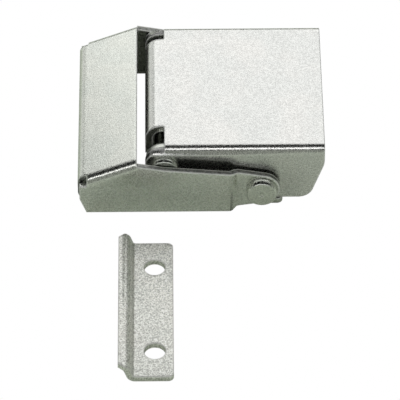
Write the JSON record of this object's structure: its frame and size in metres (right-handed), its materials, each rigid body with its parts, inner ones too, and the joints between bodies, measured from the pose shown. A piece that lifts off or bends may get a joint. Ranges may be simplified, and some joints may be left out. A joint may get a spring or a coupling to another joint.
{
  "type": "toggle latch",
  "caption": "Box-type over-centre toggle latch of folded sheet steel: base bracket, lever, draw hook on two headed pins, and a separate stepped keeper.",
  "frame": {"origin": "midway between the two screw holes of the base bracket, on the mounting plane", "axes": "+Z out of the mounting surface, +X towards the lever's free end, +Y across the latch; the hook pulls towards +X"},
  "size_m": [0.0651, 0.1182, 0.0195],
  "materials": {
    "base_steel": "satin",
    "lever_steel": "satin",
    "hook_steel": "satin",
    "keeper_steel": "satin",
    "pin_steel": "satin"
  },
  "bodies": {
    "base": {"base_bracket": "base_steel", "pivot_pin": "pin_steel"},
    "lever": {"lever": "lever_steel"},
    "hook_pin": {"hook_pin": "pin_steel"},
    "draw_hook": {"draw_hook": "hook_steel"},
    "keeper": {"keeper": "keeper_steel"}
  },
  "joints": [
    {"name": "lever_pivot", "type": "hinge", "parent": "base", "child": "lever", "pos_m": [-0.013, 0, 0.0126], "axis": [0, -1, 0], "range_deg": [0, 115]},
    {"name": "hook_level", "type": "hinge", "parent": "lever", "child": "hook_pin", "pos_m": [0.01275, 0, 0.00705], "axis": [0, -1, 0], "range_deg": [-74.75, 0]},
    {"name": "hook_swing", "type": "hinge", "parent": "hook_pin", "child": "draw_hook", "pos_m": [0.01275, 0, 0.00705], "axis": [0, 1, 0], "range_deg": [0, 100]},
    {"name": "keeper_slide", "type": "slide", "parent": "base", "child": "keeper", "axis": [-1, 0, 0], "range_m": [0, 0.02]}
  ],
  "couplings": [
    {"joint": "hook_level", "follows": "lever_pivot", "ratio": -0.65}
  ]
}
